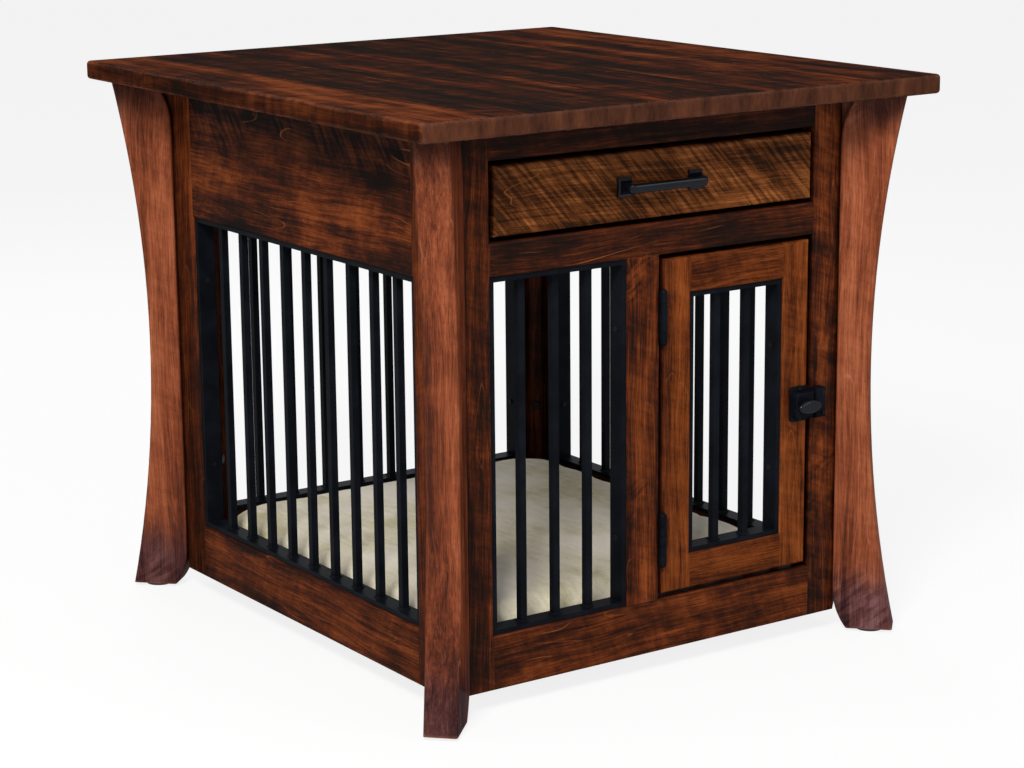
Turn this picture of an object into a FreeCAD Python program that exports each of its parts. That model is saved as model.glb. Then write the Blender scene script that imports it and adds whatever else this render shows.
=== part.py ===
import FreeCAD, Part
import math
import os
from FreeCAD import Vector as V

# Dog crate end table, millimetres.
# Origin: floor point under the centre of the top. +Z up, +X right seen from the front, front at -Y.

os.makedirs("parts", exist_ok=True)

# ---------------------------------------------------------------- sizes
# table top
top_height = 762.0
top_width = 806.8
top_depth = 880.2
top_thick = 25.4
top_corner_r = 7.0
top_edge_r = 5.0

# case: four walls of framed boards
case_width = 645.4
case_depth = 717.6
case_bottom = 28.5
board = 25.4
edge_r = 3.2
front_stile = 65.8
side_stile = 73.0
top_rail_h = 40.6
drawer_open_h = 99.1
drawer_rail_h = 42.9
front_low_rail_h = 70.1
mullion_x = -23.5
mullion_w = 51.2
apron_h = 185.6
side_low_rail_h = 75.3

# legs: curved boards standing on the diagonals of the case
leg_thick = 43.5
leg_in = 14.5
leg_top_out = 70.6
leg_mid_out = 29.6
leg_foot_out = 67.5
leg_waist_z = 359.0
leg_ease_r = 3.5
leg_top_curve_r = 105.0
leg_top_curve_h = 64.0
leg_foot_curve_r = 94.0
leg_foot_curve_h = 56.0
leg_tongue = 20.0
glide_h = 4.0
glide_r = 19.0
glide_sink = 3.0

# corner posts and leg bolts
post = 25.0
post_low_gap = 8.0
bolt_r = 4.0
bolt_head_r = 6.5
bolt_head_h = 5.0
bolt_into_leg = 22.0
bolt_above_floor = 138.0
bolt_above_ceiling = 21.0

# barred panels: welded flat bar frames with square bars
cage_depth = 25.4
cage_flat = 6.35
cage_recess = 3.0
cage_gap = 0.3
bar = 9.525
count_front = 3
count_door = 2
count_side = 9
count_rear = 8
weld = 2.2
screw_r = 1.8
screw_head_r = 3.6
screw_head_h = 1.8
screw_len = 20.0
cage_screw_end = 90.0

# panels inside
panel_thick = 12.0
floor_up = 11.3
ceiling_gap = 1.0
ceiling_thick = 6.0
cleat_w = 18.0
cleat_h = 11.0
ceiling_cleat_h = 16.0

# cushion
cushion_gap = 4.0
cushion_h = 64.0
cushion_crown = 9.0
cushion_corner_r = 66.0
cushion_draw = 5.0
cushion_lift = 0.4

# drawer
drawer_gap = 6.0
drawer_front_thick = 19.0
drawer_proud = 1.0
front_edge_r = 4.5
drawer_side_thick = 12.7
drawer_box_h = 66.0
drawer_box_low = 9.0
drawer_length = 480.0
drawer_bottom_thick = 6.0
drawer_bottom_up = 7.0
drawer_groove = 5.0
slide_space = 12.7
slide_h = 35.0
slide_wall = 1.6
slide_depth = 8.5
slide_play = 0.5
slide_front_gap = 3.0
slide_length = 470.0
runner_h = 60.0

# drawer pull
pull_centres = 112.0
pull_foot_w = 21.0
pull_foot_h = 25.0
pull_foot_base = 2.5
pull_post_w = 13.0
pull_bend_r = 9.0
pull_bar_h = 12.0
pull_bar_d = 9.5
pull_out = 25.0
pull_edge_r = 3.4
pull_screw_r = 2.0
pull_screw_head_r = 4.0
pull_screw_head_h = 2.2
pull_screw_in = 14.0

# door
door_gap = 6.0
door_stile = 44.45
door_rail = 47.6
door_edge_r = 5.0
stop_w = 14.0
stop_over = 9.0
stop_thick = 8.0
stop_end_gap = 30.0
stop_play = 0.4

# butt hinges
hinge_out = 4.0
hinge_r = 5.0
hinge_len = 64.0
hinge_inset = 74.5
hinge_knuckles = 5
hinge_knuckle_gap = 0.5
hinge_leaf = 2.4
hinge_leaf_w = 20.0
hinge_leaf_play = 0.5
hinge_pin_r = 2.4
hinge_pin_play = 0.06
finial_h = 5.0
hinge_screw_r = 1.7
hinge_screw_head_r = 3.2
hinge_screw_len = 16.0
hinge_screw_spread = 22.0

# turn latch
latch_up = 1.7
latch_w = 30.6
latch_plate_h = 47.0
latch_plate_t = 3.0
latch_box_h = 35.0
latch_box_d = 15.0
latch_edge_r = 3.0
latch_corner_r = 4.5
latch_bolt_h = 16.0
latch_bolt_d = 6.0
latch_bolt_len = 19.0
latch_play = 0.5
latch_nose_in = 1.0
latch_travel = 9.0
spindle_r = 4.0
spindle_play = 0.08
knob_w = 38.0
knob_h = 19.0
knob_t = 8.0
knob_edge_r = 3.8
knob_neck_r = 7.0
knob_neck_h = 5.0
knob_play = 0.5
strike_gap = 2.8
strike_reach = 21.0
strike_h = 40.0
strike_wall = 3.0
latch_screw_r = 1.4
latch_screw_head_r = 2.3
latch_screw_len = 12.0

# ---------------------------------------------------------------- worked out
xc = case_width / 2.0
yc = case_depth / 2.0
case_top = top_height - top_thick
in_x = xc - board
in_y = yc - board
chamfer = leg_in * math.sqrt(2.0)

front_half = xc - front_stile
side_half = yc - side_stile
z_drawer_top = case_top - top_rail_h
z_drawer_low = z_drawer_top - drawer_open_h
z_front_top = z_drawer_low - drawer_rail_h
z_front_low = case_bottom + front_low_rail_h
z_side_top = case_top - apron_h
z_side_low = case_bottom + side_low_rail_h
floor_z = case_bottom + floor_up
floor_top = floor_z + panel_thick
ceiling_z = max(z_front_top, z_side_top) + ceiling_gap + ceiling_cleat_h
mull_l = mullion_x - mullion_w / 2.0
mull_r = mullion_x + mullion_w / 2.0

parts = {}


def box(x0, x1, y0, y1, z0, z1):
    return Part.makeBox(x1 - x0, y1 - y0, z1 - z0, V(x0, y0, z0))


def prism(points, z0, z1):
    pts = [V(x, y, z0) for x, y in points]
    face = Part.Face(Part.makePolygon(pts + [pts[0]]))
    return face.extrude(V(0, 0, z1 - z0))


def rod(r, length, base, direction):
    return Part.makeCylinder(r, length, V(*base), V(*direction))


def turned(shape, angle, dx=0.0, dy=0.0):
    s = shape.copy()
    s.rotate(V(0, 0, 0), V(0, 0, 1), angle)
    s.translate(V(dx, dy, 0))
    return s


def joined(shapes):
    if len(shapes) == 1:
        return shapes[0]
    s = shapes[0].multiFuse(shapes[1:])
    return s.removeSplitter()


def less(shape, cutters):
    if not cutters:
        return shape
    return shape.cut(Part.makeCompound(cutters))


def along_edges(shape, test):
    picked = []
    for e in shape.Edges:
        a = e.Vertexes[0].Point
        b = e.Vertexes[-1].Point
        if test(a, b):
            picked.append(e)
    return picked


def near(a, b):
    return abs(a - b) < 1e-4


# ---------------------------------------------------------------- table top
def table_top():
    hx = top_width / 2.0
    hy = top_depth / 2.0
    s = box(-hx, hx, -hy, hy, case_top, top_height)
    upright = along_edges(s, lambda a, b: near(a.x, b.x) and near(a.y, b.y))
    s = s.makeFillet(top_corner_r, upright)
    rims = [e for e in s.Edges if near(e.BoundBox.ZMin, e.BoundBox.ZMax)]
    return s.makeFillet(top_edge_r, rims)


parts["table_top"] = table_top()


# ---------------------------------------------------------------- barred panels
# A panel is made flat: width along X, outer side towards -Y, lower edge at z = 0.
def bar_places(width, count):
    clear = (width - 2.0 * cage_flat - count * bar) / (count + 1.0)
    first = -width / 2.0 + cage_flat + clear + bar / 2.0
    return [first + i * (clear + bar) for i in range(count)]


def cage_screw_places(width, height):
    half = width / 2.0 - cage_flat
    zs = [cage_screw_end, height - cage_screw_end]
    return [(side * half, side, z) for side in (-1, 1) for z in zs]


def cage_screws(width, height):
    y = cage_recess + cage_depth / 2.0
    out = []
    for x, side, z in cage_screw_places(width, height):
        shank = rod(screw_r, screw_len, (x, y, z), (side, 0, 0))
        head = rod(screw_head_r, screw_head_h, (x, y, z), (-side, 0, 0))
        out.append(joined([shank, head]))
    return out


def weld_bead(x, z, up):
    y = cage_recess + cage_depth / 2.0
    h = bar / 2.0
    low = box(x - h - weld, x + h + weld, y - h - weld, y + h + weld, 0, weld)
    edges = [e for e in low.Edges if near(e.BoundBox.ZMin, weld)]
    low = low.makeChamfer(weld * 0.98, edges)
    if not up:
        low.rotate(V(x, y, 0), V(1, 0, 0), 180)
    low.translate(V(0, 0, z))
    return low


def cage_panel(width, height, count):
    y0 = cage_recess
    y1 = cage_recess + cage_depth
    w = width / 2.0
    ring = box(-w, w, y0, y1, 0, height)
    hole = box(-w + cage_flat, w - cage_flat, y0 - 1, y1 + 1, cage_flat, height - cage_flat)
    ring = ring.cut(hole)
    ym = (y0 + y1) / 2.0
    h = bar / 2.0
    pieces = [ring]
    for x in bar_places(width, count):
        pieces.append(box(x - h, x + h, ym - h, ym + h, cage_flat, height - cage_flat))
        pieces.append(weld_bead(x, cage_flat, True))
        pieces.append(weld_bead(x, height - cage_flat, False))
    s = joined(pieces)
    shanks = [rod(screw_r, screw_len, (x, ym, z), (side, 0, 0))
              for x, side, z in cage_screw_places(width, height)]
    return less(s, shanks)


# ---------------------------------------------------------------- case walls
# A wall is made flat: outer face on y = 0 looking towards -Y, boards behind it, mitred at both ends.
def wall_plate(half, openings):
    c = chamfer
    right = [(half - c, 0.0), (half - c / 2.0, c / 2.0), (half - board, board)]
    left = [(-x, y) for x, y in reversed(right)]
    s = prism(right + left, case_bottom, case_top)
    for x0, x1, z0, z1 in openings:
        s = s.cut(box(x0, x1, -1, board + 1, z0, z1))

    def on_opening(a, b):
        if not (near(a.y, 0) and near(b.y, 0)):
            return False
        mx = (a.x + b.x) / 2.0
        mz = (a.z + b.z) / 2.0
        inside_x = abs(mx) < half - c - 1.0
        return inside_x and case_bottom + 1.0 < mz < case_top - 1.0

    return s.makeFillet(edge_r, along_edges(s, on_opening))


def case_wall(half, openings, panels, boards, angle, dx, dy):
    """panels: (node, opening index, bars). boards: (node, x0, x1, z0, z1)."""
    plate = wall_plate(half, openings)
    screws = []
    for node, i, count in panels:
        x0, x1, z0, z1 = openings[i]
        w = x1 - x0 - 2.0 * cage_gap
        h = z1 - z0 - 2.0 * cage_gap
        middle = V((x0 + x1) / 2.0, 0, z0 + cage_gap)
        panel = cage_panel(w, h, count)
        panel.translate(middle)
        parts[node] = turned(panel, angle, dx, dy)
        for s in cage_screws(w, h):
            s.translate(middle)
            screws.append(s)
    plate = less(plate, screws)
    for node, x0, x1, z0, z1 in boards:
        piece = plate.common(box(x0, x1, -1, board + 1, z0, z1))
        parts[node] = turned(piece, angle, dx, dy)
    return [turned(s, angle, dx, dy) for s in screws]


far = 2.0 * (xc + yc)
case_screws = []

front_openings = [
    (-front_half, front_half, z_drawer_low, z_drawer_top),
    (-front_half, mull_l, z_front_low, z_front_top),
    (mull_r, front_half, z_front_low, z_front_top),
]
front_boards = [
    ("front_stile_left", -far, -front_half, case_bottom, case_top),
    ("front_stile_right", front_half, far, case_bottom, case_top),
    ("front_top_rail", -front_half, front_half, z_drawer_top, case_top),
    ("front_drawer_rail", -front_half, front_half, z_front_top, z_drawer_low),
    ("front_mullion", mull_l, mull_r, z_front_low, z_front_top),
    ("front_bottom_rail", -front_half, front_half, case_bottom, z_front_low),
]
case_screws += case_wall(xc, front_openings, [("cage_front", 1, count_front)], front_boards, 0, 0, -yc)


def plain_wall(name, half, stile_edge, count, angle, dx, dy, ends):
    opening = (-stile_edge, stile_edge, z_side_low, z_side_top)
    boards = [
        (name + "_stile_" + ends[0], -far, -stile_edge, case_bottom, case_top),
        (name + "_stile_" + ends[1], stile_edge, far, case_bottom, case_top),
        (name + "_apron", -stile_edge, stile_edge, z_side_top, case_top),
        (name + "_bottom_rail", -stile_edge, stile_edge, case_bottom, z_side_low),
    ]
    return case_wall(half, [opening], [("cage_" + name, 0, count)], boards, angle, dx, dy)


case_screws += plain_wall("right", yc, side_half, count_side, 90, xc, 0, ("front", "rear"))
case_screws += plain_wall("left", yc, side_half, count_side, -90, -xc, 0, ("rear", "front"))
case_screws += plain_wall("rear", xc, front_half, count_rear, 180, 0, yc, ("right", "left"))


# ---------------------------------------------------------------- legs
# Leg outline: e runs outward along the diagonal from the case's corner, z runs up.
def curve_reach(radius, height):
    return radius - math.sqrt(radius * radius - height * height)


def leg_outline():
    z0 = glide_h
    z1 = case_top
    top_in = -leg_in + curve_reach(leg_top_curve_r, leg_top_curve_h)
    foot_in = -leg_in + curve_reach(leg_foot_curve_r, leg_foot_curve_h)
    za = z0 + leg_foot_curve_h
    zb = z1 - leg_top_curve_h
    foot_mid_z = z0 + leg_foot_curve_h / 2.0
    top_mid_z = z1 - leg_top_curve_h / 2.0
    foot_mid = -leg_in + curve_reach(leg_foot_curve_r, leg_foot_curve_h / 2.0)
    top_mid = -leg_in + curve_reach(leg_top_curve_r, leg_top_curve_h / 2.0)
    p = [
        V(foot_in, 0, z0),
        V(leg_foot_out, 0, z0),
        V(leg_mid_out, 0, leg_waist_z),
        V(leg_top_out, 0, z1),
        V(top_in, 0, z1),
        V(top_mid, 0, top_mid_z),
        V(-leg_in, 0, zb),
        V(-leg_in, 0, za),
        V(foot_mid, 0, foot_mid_z),
    ]
    return Part.Wire([
        Part.LineSegment(p[0], p[1]).toShape(),
        Part.Arc(p[1], p[2], p[3]).toShape(),
        Part.LineSegment(p[3], p[4]).toShape(),
        Part.Arc(p[4], p[5], p[6]).toShape(),
        Part.LineSegment(p[6], p[7]).toShape(),
        Part.Arc(p[7], p[8], p[0]).toShape(),
    ])


def leg_blank():
    """The tongue keeps the joint to the case closed behind the curve at the leg's top."""
    face = Part.Face(leg_outline())
    s = face.extrude(V(0, leg_thick, 0))
    s.translate(V(0, -leg_thick / 2.0, 0))
    long_edges = [e for e in s.Edges if near(e.BoundBox.YMin, e.BoundBox.YMax) and e.BoundBox.ZLength > glide_h]
    s = s.makeFillet(leg_ease_r, long_edges)
    reach = curve_reach(leg_top_curve_r, leg_top_curve_h) + leg_ease_r
    tongue = box(-leg_in, -leg_in + reach, -leg_tongue / 2.0, leg_tongue / 2.0,
                 case_top - leg_top_curve_h - leg_ease_r, case_top)
    return joined([s, tongue])


corners = [
    ("front_left", -1, -1, 225),
    ("front_right", 1, -1, 315),
    ("rear_right", 1, 1, 45),
    ("rear_left", -1, 1, 135),
]

post_in = board * math.sqrt(2.0) + post * 0.75 * math.sqrt(2.0)


def leg_bolt(z):
    length = post_in - leg_in + bolt_into_leg
    shank = rod(bolt_r, length, (-post_in, 0, z), (1, 0, 0))
    head = rod(bolt_head_r, bolt_head_h, (-post_in, 0, z), (-1, 0, 0))
    return joined([shank, head])


bolt_zs = [floor_top + bolt_above_floor, ceiling_z + ceiling_thick + bolt_above_ceiling]
bolts = []
glides = []
posts = []
for name, sx, sy, angle in corners:
    cx = sx * xc
    cy = sy * yc
    pair = [turned(leg_bolt(z), angle, cx, cy) for z in bolt_zs]
    bolts += pair
    foot_mid_e = (leg_foot_out - leg_in + curve_reach(leg_foot_curve_r, leg_foot_curve_h)) / 2.0
    glide = rod(glide_r, glide_h, (foot_mid_e, 0, 0), (0, 0, 1))
    stud = rod(glide_r / 3.0, glide_sink, (foot_mid_e, 0, glide_h), (0, 0, 1))
    glide = turned(joined([glide, stud]), angle, cx, cy)
    glides.append(glide)
    leg = turned(leg_blank(), angle, cx, cy)
    parts["leg_" + name] = less(leg, pair + [glide])
    plan = [(0, 0), (-post, 0), (-post, -post / 2.0), (-post / 2.0, -post), (0, -post)]
    plan = [(sx * (in_x + x), sy * (in_y + y)) for x, y in plan]
    posts.append(less(prism(plan, floor_top + post_low_gap, case_top), pair))

bolt_bores = Part.makeCompound(bolts)
for node in ("front_stile_left", "front_stile_right", "rear_stile_left", "rear_stile_right",
             "left_stile_front", "left_stile_rear", "right_stile_front", "right_stile_rear"):
    parts[node] = parts[node].cut(bolt_bores)
parts["leg_bolts"] = bolt_bores
parts["leg_glides"] = Part.makeCompound(glides)
parts["corner_posts"] = Part.makeCompound(posts)


# ---------------------------------------------------------------- floor, ceiling, cleats
def inner_panel(z0, thick):
    return box(-in_x, in_x, -in_y, in_y, z0, z0 + thick)


parts["floor_panel"] = inner_panel(floor_z, panel_thick)
parts["ceiling_panel"] = less(inner_panel(ceiling_z, ceiling_thick), posts)

cleats = []
for side in (-1, 1):
    x0, x1 = sorted((side * in_x, side * (in_x - cleat_w)))
    cleats.append(box(x0, x1, -in_y, in_y, floor_z - cleat_h, floor_z))
    y = in_y - post
    cleats.append(box(x0, x1, -y, y, ceiling_z - ceiling_cleat_h, ceiling_z))
parts["panel_cleats"] = Part.makeCompound(cleats)


# ---------------------------------------------------------------- cushion
# Outline of one level: straight lines round the corner arcs, each side drawn in at its middle.
def cushion_ring(hx, hy, r, draw, z):
    k = r * (1.0 - math.sqrt(0.5))
    edges = []
    quads = [(1, -1), (1, 1), (-1, 1), (-1, -1)]
    arcs = []
    for sx, sy in quads:
        a = V(sx * hx, sy * (hy - r), z)
        b = V(sx * (hx - r), sy * hy, z)
        m = V(sx * (hx - k), sy * (hy - k), z)
        arcs.append((a, m, b) if sx * sy > 0 else (b, m, a))
    middles = [V(hx - draw, 0, z), V(0, hy - draw, z), V(-hx + draw, 0, z), V(0, -hy + draw, z)]
    for i in range(4):
        a, m, b = arcs[i]
        edges.append(Part.Arc(a, m, b).toShape())
        c = arcs[(i + 1) % 4][0]
        edges.append(Part.Arc(b, middles[i], c).toShape())
    return Part.Wire(edges)


def cushion_form():
    hx = xc - cage_recess - cage_depth - cushion_gap
    hy = yc - cage_recess - cage_depth - cushion_gap
    z0 = floor_top + cushion_lift
    side_h = cushion_h - cushion_crown
    levels = [
        (0.0, 0.10),
        (0.14, 0.03),
        (0.50, 0.0),
        (0.84, 0.03),
        (1.0, 0.11),
    ]
    rings = []
    for up, inset in levels:
        d = inset * cushion_corner_r
        r = cushion_corner_r - d * 0.5
        rings.append(cushion_ring(hx - d, hy - d, r, cushion_draw, z0 + up * side_h))
    for up, inset in ((0.45, 0.34), (0.80, 0.75), (1.0, 1.5)):
        d = inset * cushion_corner_r
        r = cushion_corner_r * 0.9
        rings.append(cushion_ring(hx - d, hy - d, r, cushion_draw * (1.0 - 0.6 * up), z0 + side_h + up * cushion_crown))
    return Part.makeLoft(rings, True, True)


parts["cushion"] = cushion_form()


# ---------------------------------------------------------------- drawer
dz0 = z_drawer_low + drawer_gap
dz1 = z_drawer_top - drawer_gap
dx = front_half - drawer_gap
dy0 = -yc - drawer_proud
dy1 = dy0 + drawer_front_thick
pull_z = (dz0 + dz1) / 2.0
box_x = front_half - slide_space
box_z0 = dz0 + drawer_box_low
box_z1 = box_z0 + drawer_box_h
box_y1 = dy1 + drawer_length


def pull_places():
    return [-pull_centres / 2.0, pull_centres / 2.0]


def rect_wire(x, z, w, h, y):
    a = [V(x - w / 2.0, y, z - h / 2.0), V(x + w / 2.0, y, z - h / 2.0)]
    b = [V(x + w / 2.0, y, z + h / 2.0), V(x - w / 2.0, y, z + h / 2.0)]
    return Part.makePolygon(a + b + [a[0]])


def drawer_pull():
    outer_x = pull_centres / 2.0 + pull_post_w / 2.0
    inner_x = outer_x - pull_post_w
    y_out = dy0 - pull_out
    y_in = y_out + pull_bar_d
    y_base = dy0 - pull_foot_base
    z0 = pull_z - pull_bar_h / 2.0
    s = box(-outer_x, outer_x, y_out, y_base, z0, z0 + pull_bar_h)
    s = s.makeFillet(pull_bend_r, [e for e in s.Edges if near(e.BoundBox.YMax, y_out) and e.BoundBox.ZLength > pull_bar_h / 2.0])
    gap = box(-inner_x, inner_x, y_in, dy0, z0 - 1, z0 + pull_bar_h + 1)
    gap = gap.makeFillet(pull_bend_r / 3.0, [e for e in gap.Edges if near(e.BoundBox.YMax, y_in) and e.BoundBox.ZLength > pull_bar_h / 2.0])
    s = s.cut(gap)
    flat = [e for e in s.Edges if e.BoundBox.ZLength < 0.01 and e.BoundBox.YMin < y_base - 0.1]
    s = s.makeFillet(pull_edge_r, flat)
    feet = [s]
    for x in pull_places():
        wires = [
            rect_wire(x, pull_z, pull_foot_w, pull_foot_h, dy0),
            rect_wire(x, pull_z, pull_foot_w, pull_foot_h, dy0 - pull_foot_base),
        ]
        feet.append(Part.makeLoft(wires, True, True))
        levels = [(0.0, 0.82), (0.6, 0.40), (1.4, 0.14), (2.4, 0.0)]
        neck = []
        for out, flare in levels:
            w = pull_post_w + (pull_foot_w - pull_post_w) * flare
            h = pull_bar_h + (pull_foot_h - pull_bar_h) * flare
            neck.append(rect_wire(x, pull_z, w, h, y_base - out * pull_foot_base))
        feet.append(Part.makeLoft(neck, True, True))
    return joined(feet)


def pull_screws():
    out = []
    for x in pull_places():
        shank = rod(pull_screw_r, drawer_front_thick + pull_screw_in, (x, dy1, pull_z), (0, -1, 0))
        head = rod(pull_screw_head_r, pull_screw_head_h, (x, dy1, pull_z), (0, 1, 0))
        out.append(joined([shank, head]))
    return out


def drawer_parts():
    front = box(-dx, dx, dy0, dy1, dz0, dz1)
    rim = [e for e in front.Edges if near(e.BoundBox.YMin, dy0) and near(e.BoundBox.YMax, dy0)]
    front = front.makeFillet(front_edge_r, rim)
    screws = pull_screws()
    w = drawer_side_thick
    z_bottom = box_z0 + drawer_bottom_up
    inner = box_x - w
    bottom = box(-inner - drawer_groove, inner + drawer_groove, dy1 - drawer_groove,
                 box_y1 - w + drawer_groove, z_bottom, z_bottom + drawer_bottom_thick)
    parts["drawer_front"] = less(front, screws + [bottom])
    parts["drawer_side_left"] = box(-box_x, -inner, dy1, box_y1, box_z0, box_z1).cut(bottom)
    parts["drawer_side_right"] = box(inner, box_x, dy1, box_y1, box_z0, box_z1).cut(bottom)
    parts["drawer_back"] = box(-inner, inner, box_y1 - w, box_y1, box_z0, box_z1).cut(bottom)
    parts["drawer_bottom"] = bottom
    parts["drawer_pull"] = less(drawer_pull(), screws)
    parts["drawer_pull_screws"] = Part.makeCompound(screws)


drawer_parts()

slide_z = (box_z0 + box_z1) / 2.0
slide_y0 = -in_y + slide_front_gap
rails = []
members = []
runners = []
for side in (-1, 1):
    x_wall = side * front_half
    back = sorted((x_wall, x_wall - side * slide_depth))
    rail = box(back[0], back[1], slide_y0, slide_y0 + slide_length, slide_z - slide_h / 2.0, slide_z + slide_h / 2.0)
    hollow = sorted((x_wall - side * slide_wall, x_wall - side * (slide_depth + 1.0)))
    half = slide_h / 2.0 - slide_wall
    rail = rail.cut(box(hollow[0], hollow[1], slide_y0 - 1, slide_y0 + slide_length + 1, slide_z - half, slide_z + half))
    rails.append(rail)
    body = sorted((side * box_x, x_wall - side * (slide_wall + slide_play)))
    half = half - slide_play
    y1 = min(slide_y0 + slide_length, box_y1)
    members.append(box(body[0], body[1], slide_y0, y1, slide_z - half, slide_z + half))
    block = sorted((x_wall, side * in_x))
    y = in_y - post
    runners.append(box(block[0], block[1], -y, y, slide_z - runner_h / 2.0, slide_z + runner_h / 2.0))
parts["drawer_slide_rails"] = Part.makeCompound(rails)
parts["drawer_slide_members"] = Part.makeCompound(members)
parts["drawer_runners"] = Part.makeCompound(runners)

# ---------------------------------------------------------------- door
door_x0 = mull_r + door_gap
door_x1 = front_half - door_gap
door_z0 = z_front_low + door_gap
door_z1 = z_front_top - door_gap
door_y = -yc
door_w = door_x1 - door_x0
door_h = door_z1 - door_z0
door_mid = (door_x0 + door_x1) / 2.0
hinge_x = (mull_r + door_x0) / 2.0
hinge_y = door_y - hinge_out
hinge_zs = [door_z0 + hinge_inset, door_z1 - hinge_inset]
latch_z = (door_z0 + door_z1) / 2.0 + latch_up


def hinge_screw_places(zc):
    y = hinge_y + hinge_r + hinge_leaf_play + hinge_leaf_w / 2.0
    return [(y, zc - hinge_screw_spread), (y, zc + hinge_screw_spread)]


def hinge_screws(side):
    """side -1: into the case's centre stile, side 1: into the door."""
    face = mull_r + hinge_leaf if side < 0 else door_x0 - hinge_leaf
    out = []
    for zc in hinge_zs:
        for y, z in hinge_screw_places(zc):
            head = rod(hinge_screw_head_r, hinge_leaf, (face, y, z), (side, 0, 0))
            shank = rod(hinge_screw_r, hinge_screw_len, (face, y, z), (side, 0, 0))
            out.append(joined([head, shank]))
    return out


def hinge_leaf_solid(zc, side):
    wall_x = mull_r if side < 0 else door_x0
    x0, x1 = sorted((wall_x, wall_x - side * hinge_leaf))
    z0 = zc - hinge_len / 2.0
    y_leaf = hinge_y + hinge_r + hinge_leaf_play
    pieces = [box(x0, x1, y_leaf, y_leaf + hinge_leaf_w, z0, z0 + hinge_len)]
    step = hinge_len / hinge_knuckles
    for i in range(hinge_knuckles):
        own = i % 2 == 0 if side < 0 else i % 2 == 1
        if not own:
            continue
        a = z0 + i * step + (hinge_knuckle_gap / 2.0 if i > 0 else 0.0)
        b = z0 + (i + 1) * step - (hinge_knuckle_gap / 2.0 if i < hinge_knuckles - 1 else 0.0)
        pieces.append(rod(hinge_r, b - a, (hinge_x, hinge_y, a), (0, 0, 1)))
        pieces.append(box(x0, x1, hinge_y, y_leaf + 1.0, a, b))
    s = joined(pieces)
    bore = hinge_pin_r + (hinge_pin_play if side > 0 else 0.0)
    return s.cut(rod(bore, hinge_len + 2, (hinge_x, hinge_y, z0 - 1), (0, 0, 1)))


def hinge_pin(zc):
    z0 = zc - hinge_len / 2.0
    pieces = [rod(hinge_pin_r, hinge_len, (hinge_x, hinge_y, z0), (0, 0, 1))]
    r = hinge_r
    for end, d in ((z0, -1), (z0 + hinge_len, 1)):
        pts = [(0, 0), (r * 0.92, 0), (r, finial_h * 0.3), (r * 0.85, finial_h * 0.6),
               (r * 0.45, finial_h * 0.92), (0, finial_h)]
        wire = Part.makePolygon([V(hinge_x + x, hinge_y, end + d * h) for x, h in pts + [pts[0]]])
        pieces.append(Part.Face(wire).revolve(V(hinge_x, hinge_y, 0), V(0, 0, 1), 360))
    return joined(pieces)


case_hinge_screws = hinge_screws(-1)
door_hinge_screws = hinge_screws(1)
parts["hinge_case_leaves"] = Part.makeCompound([less(hinge_leaf_solid(z, -1), case_hinge_screws) for z in hinge_zs])
parts["hinge_door_leaves"] = Part.makeCompound([less(hinge_leaf_solid(z, 1), door_hinge_screws) for z in hinge_zs])
parts["hinge_pins"] = Part.makeCompound([hinge_pin(z) for z in hinge_zs])
parts["front_mullion"] = less(parts["front_mullion"], case_hinge_screws)

# latch places, needed for its screw holes
latch_x1 = door_x1
latch_x0 = latch_x1 - latch_w
latch_xm = (latch_x0 + latch_x1) / 2.0 - latch_nose_in
strike_x0 = latch_x1 + strike_gap
strike_x1 = strike_x0 + strike_reach - strike_gap
strike_foot_x = front_half + edge_r
latch_plate_side = (latch_plate_h + latch_box_h) / 4.0
latch_top_y = door_y - latch_box_d


def small_screw(x, y, z):
    head = rod(latch_screw_head_r, latch_screw_r, (x, y, z), (0, -1, 0))
    shank = rod(latch_screw_r, latch_screw_len, (x, y, z), (0, 1, 0))
    return joined([head, shank])


latch_screws = [small_screw(latch_xm, door_y - latch_plate_t, latch_z + d * latch_plate_side) for d in (-1, 1)]


def door_parts():
    s = box(door_x0, door_x1, door_y, door_y + board, door_z0, door_z1)
    rim = [e for e in s.Edges if near(e.BoundBox.YMin, door_y) and near(e.BoundBox.YMax, door_y)]
    s = s.makeFillet(door_edge_r, rim)
    ox0 = door_x0 + door_stile
    ox1 = door_x1 - door_stile
    oz0 = door_z0 + door_rail
    oz1 = door_z1 - door_rail
    s = s.cut(box(ox0, ox1, door_y - 1, door_y + board + 1, oz0, oz1))

    def on_opening(a, b):
        flat = near(a.y, door_y) and near(b.y, door_y)
        inside = all(ox0 - 0.1 < p.x < ox1 + 0.1 and oz0 - 0.1 < p.z < oz1 + 0.1 for p in (a, b))
        return flat and inside

    s = s.makeFillet(edge_r, along_edges(s, on_opening))
    w = ox1 - ox0 - 2.0 * cage_gap
    h = oz1 - oz0 - 2.0 * cage_gap
    place = V((ox0 + ox1) / 2.0, door_y, oz0 + cage_gap)
    panel = cage_panel(w, h, count_door)
    panel.translate(place)
    parts["cage_door"] = panel
    screws = cage_screws(w, h)
    for c in screws:
        c.translate(place)
    everything = screws + door_hinge_screws + latch_screws
    s = less(s, everything)
    y = (door_y - 1, door_y + board + 1)
    parts["door_stile_hinge"] = s.common(box(door_x0, ox0, y[0], y[1], door_z0, door_z1))
    parts["door_stile_latch"] = s.common(box(ox1, door_x1, y[0], y[1], door_z0, door_z1))
    parts["door_rail_top"] = s.common(box(ox0, ox1, y[0], y[1], oz1, door_z1))
    parts["door_rail_bottom"] = s.common(box(ox0, ox1, y[0], y[1], door_z0, oz0))
    parts["door_screws"] = Part.makeCompound(everything)


door_parts()

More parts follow.
